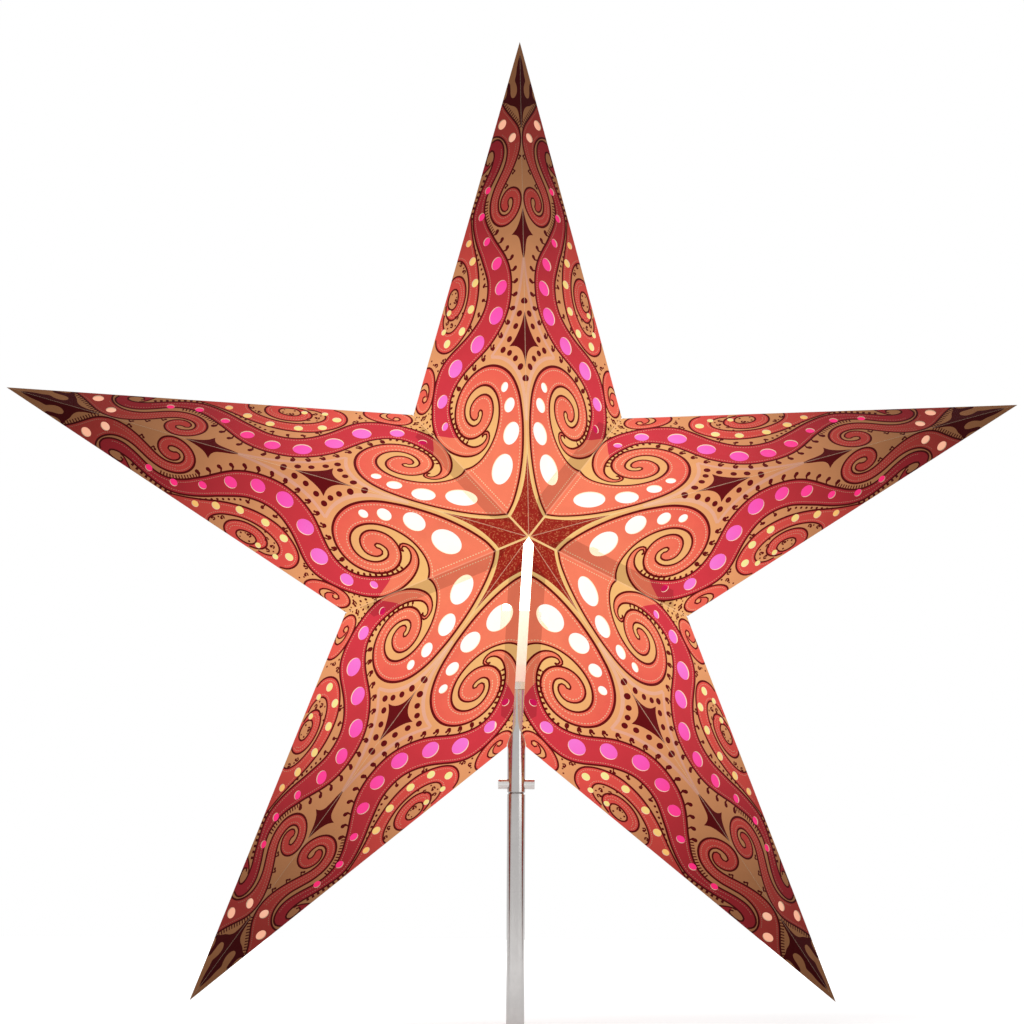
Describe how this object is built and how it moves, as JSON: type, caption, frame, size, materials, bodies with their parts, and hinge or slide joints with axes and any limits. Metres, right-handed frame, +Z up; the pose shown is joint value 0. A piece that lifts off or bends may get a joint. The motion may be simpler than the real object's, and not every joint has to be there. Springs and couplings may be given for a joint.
{
  "type": "paper star lantern",
  "caption": "Five-pointed folded card star with punched windows over coloured film, lit from inside by a bulb on a slim metal stem.",
  "frame": {"origin": "centre of the stem's cut lower end", "axes": "+Z up along the stem, the star's front faces -Y, +X to the right as seen from the front"},
  "size_m": [0.5706, 0.18, 0.56],
  "materials": {
    "printed_card": "printed, satin",
    "magenta_film": "translucent film",
    "yellow_film": "translucent film",
    "white_tissue": "tissue",
    "bulb_glass": "frosted",
    "brass": "bright",
    "holder_plastic": "moulded",
    "plated_steel": "nickel plated",
    "chrome": "polished"
  },
  "bodies": {
    "root": {"point_top": "printed_card", "point_right": "printed_card", "point_lower_right": "printed_card", "point_lower_left": "printed_card", "point_left": "printed_card", "magenta_film_top": "magenta_film", "magenta_film_right": "magenta_film", "magenta_film_lower_right": "magenta_film", "magenta_film_lower_left": "magenta_film", "magenta_film_left": "magenta_film", "yellow_film_top": "yellow_film", "yellow_film_right": "yellow_film", "yellow_film_lower_right": "yellow_film", "yellow_film_lower_left": "yellow_film", "yellow_film_left": "yellow_film", "white_tissue_top": "white_tissue", "white_tissue_right": "white_tissue", "white_tissue_lower_right": "white_tissue", "white_tissue_lower_left": "white_tissue", "white_tissue_left": "white_tissue", "light_bulb": "bulb_glass", "screw_shell": "brass", "centre_contact": "brass", "holder_body": "holder_plastic", "holder_cap": "holder_plastic", "lock_nut": "plated_steel", "stem_tube": "chrome", "foot_tube": "chrome", "joint_plug": "plated_steel", "cross_pin": "plated_steel"}
  },
  "joints": []
}
